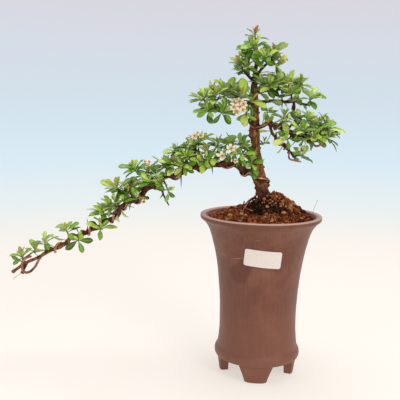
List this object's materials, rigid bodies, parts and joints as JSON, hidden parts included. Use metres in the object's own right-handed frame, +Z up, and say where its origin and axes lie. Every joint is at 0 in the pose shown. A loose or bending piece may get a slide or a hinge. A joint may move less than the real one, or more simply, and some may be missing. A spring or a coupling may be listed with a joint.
{
  "type": "pyracantha bonsai",
  "caption": "Semi-cascade pyracantha bonsai with a long wired branch trailing to one side, glossy leaf rosettes and small cream flowers, in a tall round unglazed clay pot on feet.",
  "frame": {"origin": "on the floor plane under the middle of the whole outline; the pot's axis stands 105 mm towards +X from it", "axes": "+Z up, -Y the side that the plant is looked at from, -X the way the long branch trails"},
  "size_m": [0.3792, 0.1388, 0.3971],
  "materials": {
    "clay": "unglazed fired clay, matte",
    "soil": "loose baked-clay granules",
    "bark": "rough living bark",
    "leaf": "glossy living leaf",
    "petal": "soft petals",
    "dried_fruit": "dried berry",
    "wire": "copper-coloured anodised shaping wire",
    "label_paper": "blank sticker",
    "mesh_plastic": "drainage mesh"
  },
  "bodies": {
    "root": {"drain_mesh": "mesh_plastic", "dried_berry": "dried_fruit", "flowers_far_twig": "petal", "flowers_long_twig": "petal", "flowers_near_trunk": "petal", "flowers_upper_left": "petal", "label": "label_paper", "leaves_crown_a": "leaf", "leaves_crown_b": "leaf", "leaves_crown_c": "leaf", "leaves_crown_d": "leaf", "leaves_crown_e": "leaf", "leaves_low_a": "leaf", "leaves_low_b": "leaf", "leaves_low_c": "leaf", "leaves_low_d": "leaf", "leaves_low_e": "leaf", "leaves_low_f": "leaf", "leaves_mid_a": "leaf", "leaves_mid_b": "leaf", "leaves_mid_c": "leaf", "leaves_mid_d": "leaf", "leaves_mid_e": "leaf", "leaves_mid_f": "leaf", "leaves_mid_g": "leaf", "leaves_mid_h": "leaf", "leaves_mid_i": "leaf", "leaves_mid_j": "leaf", "leaves_near_a": "leaf", "leaves_near_b": "leaf", "leaves_near_c": "leaf", "leaves_near_d": "leaf", "leaves_near_e": "leaf", "leaves_right_a": "leaf", "leaves_right_b": "leaf", "leaves_right_c": "leaf", "leaves_right_d": "leaf", "leaves_right_e": "leaf", "leaves_right_f": "leaf", "leaves_right_g": "leaf", "leaves_right_h": "leaf", "leaves_right_i": "leaf", "leaves_right_j": "leaf", "leaves_right_k": "leaf", "leaves_right_l": "leaf", "leaves_tip": "leaf", "leaves_top_left_a": "leaf", "leaves_top_left_b": "leaf", "leaves_top_left_c": "leaf", "leaves_top_left_d": "leaf", "leaves_top_left_e": "leaf", "leaves_top_left_f": "leaf", "leaves_trunk_shoot": "leaf", "pot": "clay", "soil": "soil", "tree": "bark", "wire_hang": "wire", "wire_long": "wire", "wire_low": "wire"}
  },
  "joints": []
}
